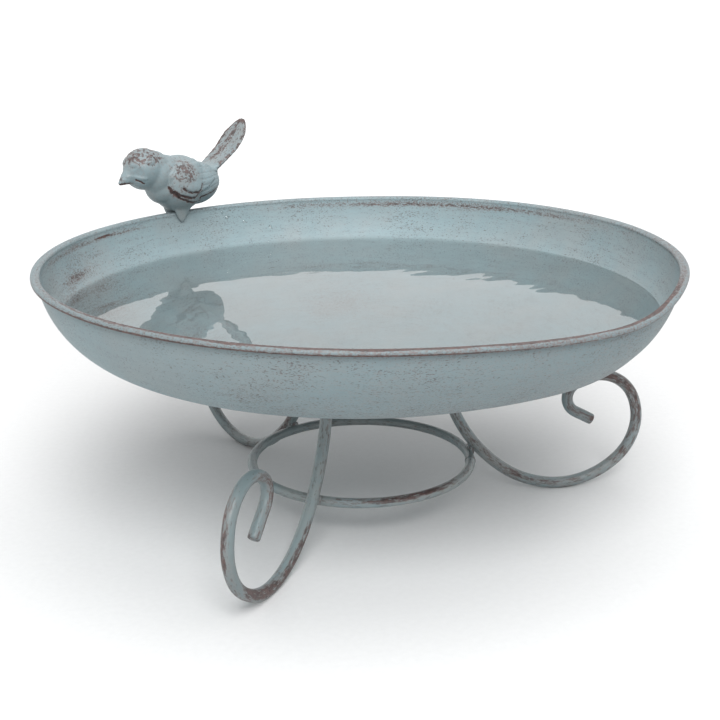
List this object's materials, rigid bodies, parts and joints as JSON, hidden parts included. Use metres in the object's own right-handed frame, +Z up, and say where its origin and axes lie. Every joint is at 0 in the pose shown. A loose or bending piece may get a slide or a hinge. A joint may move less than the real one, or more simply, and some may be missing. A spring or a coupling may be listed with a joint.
{
  "type": "table-top bird bath",
  "caption": "Round spun steel dish on three scrolled rod legs tied by a ring, with a cast songbird on the rim.",
  "frame": {"origin": "on the floor, on the dish's axis", "axes": "+Z up; +X outwards along the first leg; the bird sits on the rim at about +124 degrees from +X, facing along the rim"},
  "size_m": [0.3196, 0.3244, 0.1829],
  "materials": {
    "dish_paint": "satin blue-grey paint over brown primer, rubbed through at the rim, with fine streaks round the dish",
    "rod_paint": "satin slate blue-grey paint over brown primer, rubbed through along the rods",
    "bird_paint": "satin blue-grey paint over brown primer, rubbed through on the high places",
    "water": "clear rippled water, in the visual model only"
  },
  "bodies": {
    "root": {"dish": "dish_paint", "bird": "bird_paint", "ring": "rod_paint", "leg_right": "rod_paint", "leg_back": "rod_paint", "leg_front": "rod_paint", "dish_weld_right": "rod_paint", "dish_weld_back": "rod_paint", "dish_weld_front": "rod_paint", "ring_weld_right": "rod_paint", "ring_weld_back": "rod_paint", "ring_weld_front": "rod_paint", "ring_seam_weld": "rod_paint"}
  },
  "joints": []
}
